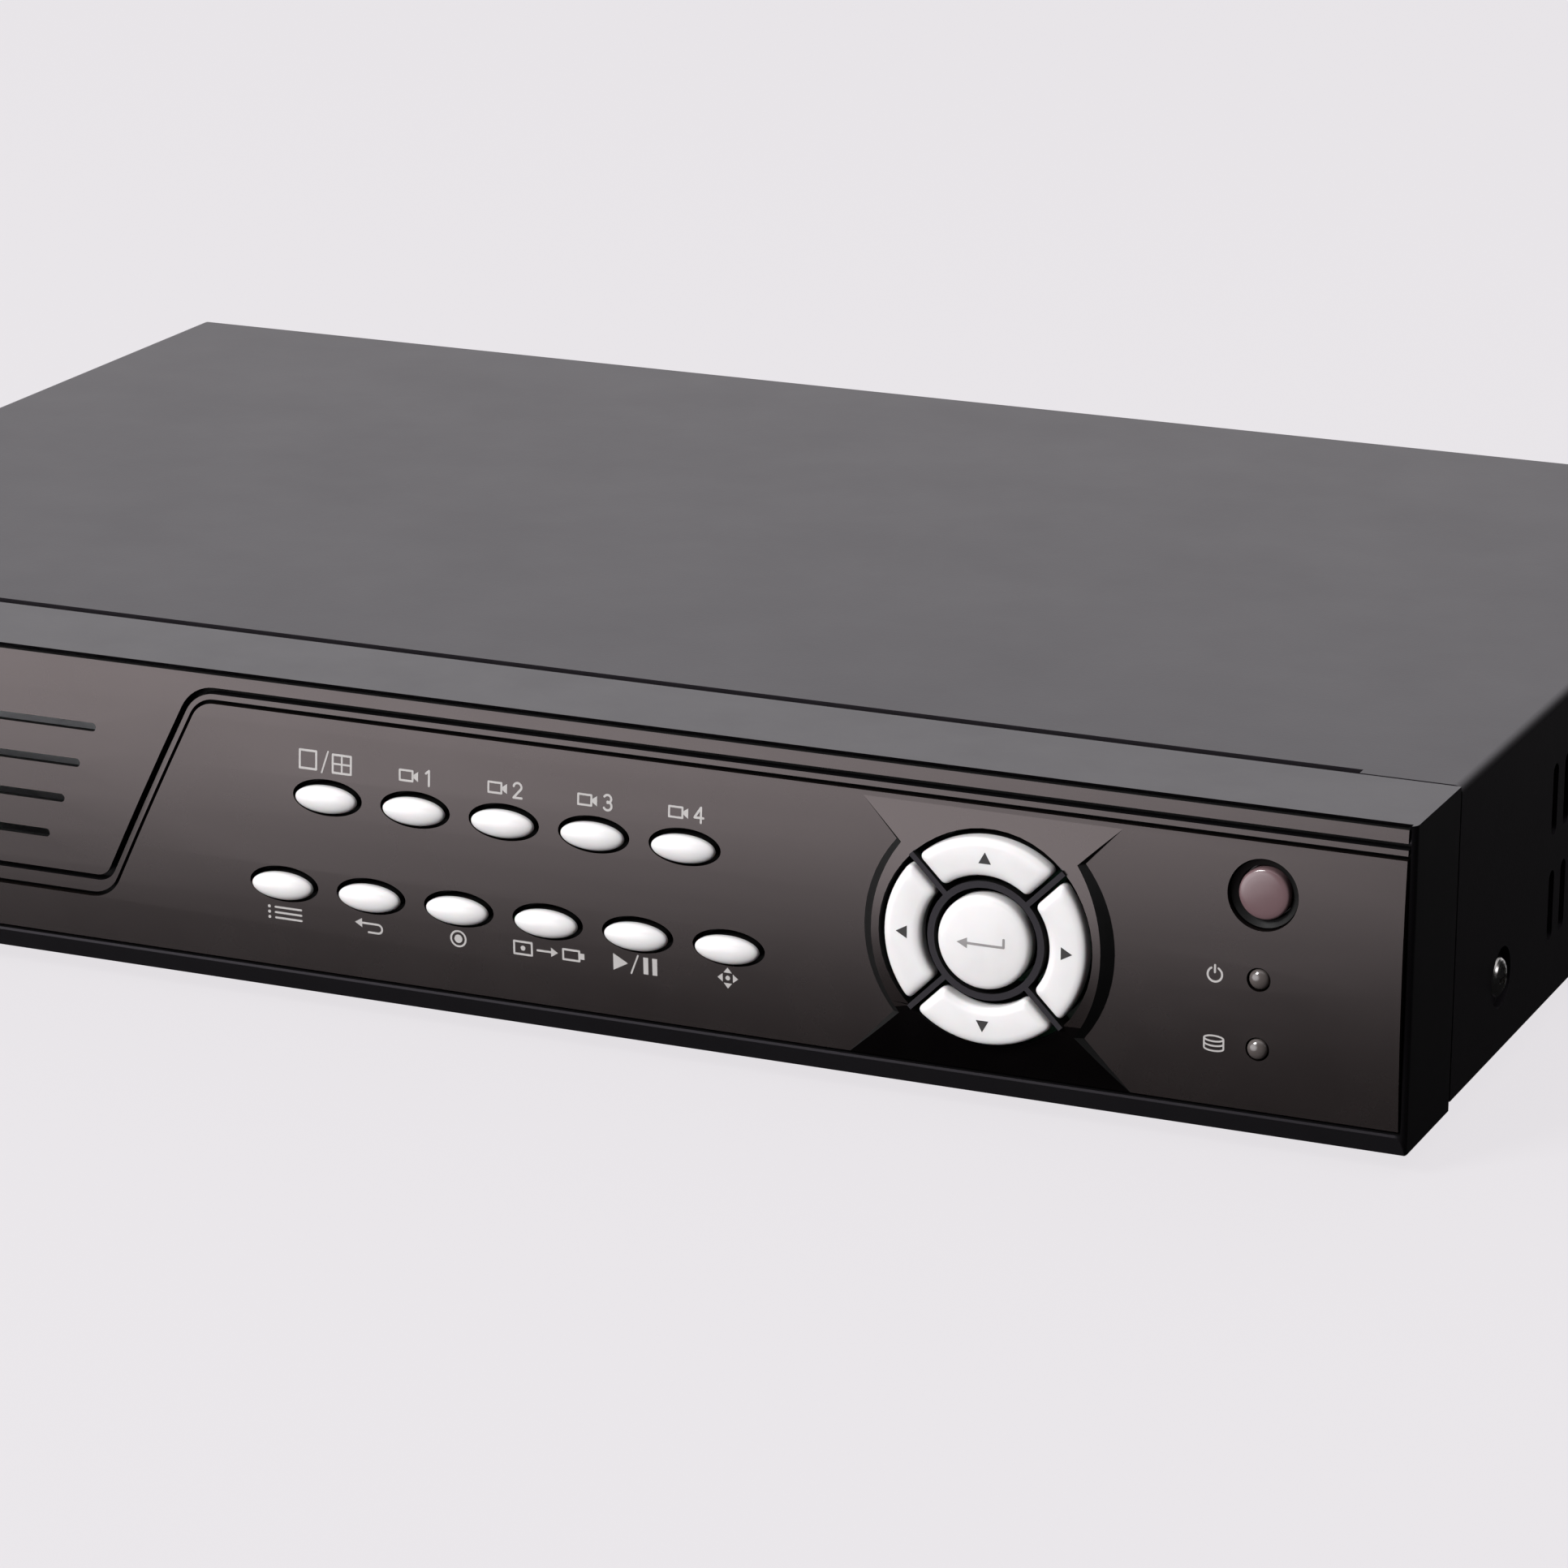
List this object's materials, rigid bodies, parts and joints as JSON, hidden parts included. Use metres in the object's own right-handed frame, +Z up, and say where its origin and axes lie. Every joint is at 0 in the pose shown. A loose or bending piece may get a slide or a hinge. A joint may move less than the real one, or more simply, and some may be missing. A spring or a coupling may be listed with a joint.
{
  "type": "digital video recorder",
  "caption": "Flat black desktop video recorder with a key and direction-pad front, vented steel cover and a back row of video, audio and network sockets.",
  "frame": {"origin": "middle of the bounding box, on the plane the rubber feet stand on", "axes": "+Z up, -Y towards the front panel, +X to the right as seen from the front"},
  "size_m": [0.3012, 0.2206, 0.0513],
  "materials": {
    "cover_coat": "fine satin powder coat",
    "frame_plastic": "satin moulded plastic",
    "face_plastic": "satin gloss lacquered face",
    "key_plastic": "glossy pearl white",
    "window_plastic": "smoked infrared window",
    "lamp_plastic": "clear grey lamp lens",
    "pan_steel": "black coated steel sheet",
    "screw_steel": "bright nickel",
    "board_laminate": "green solder mask",
    "chip_black": "moulded black",
    "capacitor_sleeve": "printed sleeve",
    "sink_metal": "dark anodised",
    "cell_metal": "bright",
    "standoff_brass": "turned brass",
    "connector_metal": "nickel plated",
    "insulator_white": "white insulator",
    "port_black": "moulded black",
    "port_blue": "moulded blue",
    "terminal_green": "moulded green",
    "drive_metal": "cast case",
    "cable_sleeve": "insulation",
    "foot_rubber": "soft rubber"
  },
  "bodies": {
    "chassis": {"top_cover": "cover_coat", "chassis_pan": "pan_steel", "back_panel": "pan_steel", "port_shield": "connector_metal", "front_bezel": "frame_plastic", "vent_panel": "face_plastic", "control_panel": "face_plastic", "ir_window": "window_plastic", "power_lamp": "lamp_plastic", "drive_lamp": "lamp_plastic", "key_board": "board_laminate", "tact_switches": "chip_black", "ir_receiver": "chip_black", "board_screws": "screw_steel", "main_board": "board_laminate", "board_standoffs": "standoff_brass", "board_chips": "chip_black", "heat_sink": "sink_metal", "capacitors": "capacitor_sleeve", "coin_cell": "cell_metal", "coin_cell_holder": "chip_black", "bnc_shells": "connector_metal", "bnc_insulators": "insulator_white", "bnc_contacts": "standoff_brass", "bnc_nuts": "connector_metal", "audio_sockets": "connector_metal", "audio_housing": "port_black", "vga_port": "port_blue", "hdmi_port": "connector_metal", "usb_ports": "connector_metal", "lan_port": "connector_metal", "power_inlet": "port_black", "rs485_terminal": "terminal_green", "hard_drive": "drive_metal", "drive_circuit": "board_laminate", "drive_screws": "screw_steel", "drive_cables": "cable_sleeve", "key_cable": "cable_sleeve", "fan_lead": "cable_sleeve", "fan_frame": "port_black", "fan_screws": "screw_steel", "rubber_feet": "foot_rubber", "cover_screws": "screw_steel"},
    "display_key": {"display_key": "key_plastic"},
    "channel_1_key": {"channel_1_key": "key_plastic"},
    "channel_2_key": {"channel_2_key": "key_plastic"},
    "channel_3_key": {"channel_3_key": "key_plastic"},
    "channel_4_key": {"channel_4_key": "key_plastic"},
    "menu_key": {"menu_key": "key_plastic"},
    "escape_key": {"escape_key": "key_plastic"},
    "record_key": {"record_key": "key_plastic"},
    "backup_key": {"backup_key": "key_plastic"},
    "play_pause_key": {"play_pause_key": "key_plastic"},
    "camera_move_key": {"camera_move_key": "key_plastic"},
    "up_key": {"up_key": "key_plastic"},
    "down_key": {"down_key": "key_plastic"},
    "left_key": {"left_key": "key_plastic"},
    "right_key": {"right_key": "key_plastic"},
    "enter_key": {"enter_key": "key_plastic"},
    "fan_rotor": {"fan_rotor": "port_black"}
  },
  "joints": [
    {"name": "display_press", "type": "slide", "parent": "chassis", "child": "display_key", "axis": [0, 1, 0], "range_m": [0, 0.0005], "stiffness_N_per_m": 400, "springref_m": -0.001},
    {"name": "channel_1_press", "type": "slide", "parent": "chassis", "child": "channel_1_key", "axis": [0, 1, 0], "range_m": [0, 0.0005], "stiffness_N_per_m": 400, "springref_m": -0.001},
    {"name": "channel_2_press", "type": "slide", "parent": "chassis", "child": "channel_2_key", "axis": [0, 1, 0], "range_m": [0, 0.0005], "stiffness_N_per_m": 400, "springref_m": -0.001},
    {"name": "channel_3_press", "type": "slide", "parent": "chassis", "child": "channel_3_key", "axis": [0, 1, 0], "range_m": [0, 0.0005], "stiffness_N_per_m": 400, "springref_m": -0.001},
    {"name": "channel_4_press", "type": "slide", "parent": "chassis", "child": "channel_4_key", "axis": [0, 1, 0], "range_m": [0, 0.0005], "stiffness_N_per_m": 400, "springref_m": -0.001},
    {"name": "menu_press", "type": "slide", "parent": "chassis", "child": "menu_key", "axis": [0, 1, 0], "range_m": [0, 0.0005], "stiffness_N_per_m": 400, "springref_m": -0.001},
    {"name": "escape_press", "type": "slide", "parent": "chassis", "child": "escape_key", "axis": [0, 1, 0], "range_m": [0, 0.0005], "stiffness_N_per_m": 400, "springref_m": -0.001},
    {"name": "record_press", "type": "slide", "parent": "chassis", "child": "record_key", "axis": [0, 1, 0], "range_m": [0, 0.0005], "stiffness_N_per_m": 400, "springref_m": -0.001},
    {"name": "backup_press", "type": "slide", "parent": "chassis", "child": "backup_key", "axis": [0, 1, 0], "range_m": [0, 0.0005], "stiffness_N_per_m": 400, "springref_m": -0.001},
    {"name": "play_pause_press", "type": "slide", "parent": "chassis", "child": "play_pause_key", "axis": [0, 1, 0], "range_m": [0, 0.0005], "stiffness_N_per_m": 400, "springref_m": -0.001},
    {"name": "camera_move_press", "type": "slide", "parent": "chassis", "child": "camera_move_key", "axis": [0, 1, 0], "range_m": [0, 0.0005], "stiffness_N_per_m": 400, "springref_m": -0.001},
    {"name": "up_press", "type": "slide", "parent": "chassis", "child": "up_key", "axis": [0, 1, 0], "range_m": [0, 0.0005], "stiffness_N_per_m": 400, "springref_m": -0.001},
    {"name": "down_press", "type": "slide", "parent": "chassis", "child": "down_key", "axis": [0, 1, 0], "range_m": [0, 0.0005], "stiffness_N_per_m": 400, "springref_m": -0.001},
    {"name": "left_press", "type": "slide", "parent": "chassis", "child": "left_key", "axis": [0, 1, 0], "range_m": [0, 0.0005], "stiffness_N_per_m": 400, "springref_m": -0.001},
    {"name": "right_press", "type": "slide", "parent": "chassis", "child": "right_key", "axis": [0, 1, 0], "range_m": [0, 0.0005], "stiffness_N_per_m": 400, "springref_m": -0.001},
    {"name": "enter_press", "type": "slide", "parent": "chassis", "child": "enter_key", "axis": [0, 1, 0], "range_m": [0, 0.0005], "stiffness_N_per_m": 400, "springref_m": -0.001},
    {"name": "fan_spin", "type": "hinge", "parent": "chassis", "child": "fan_rotor", "pos_m": [-0.1407, -0.01015, 0.0279], "axis": [1, 0, 0], "continuous": true}
  ]
}
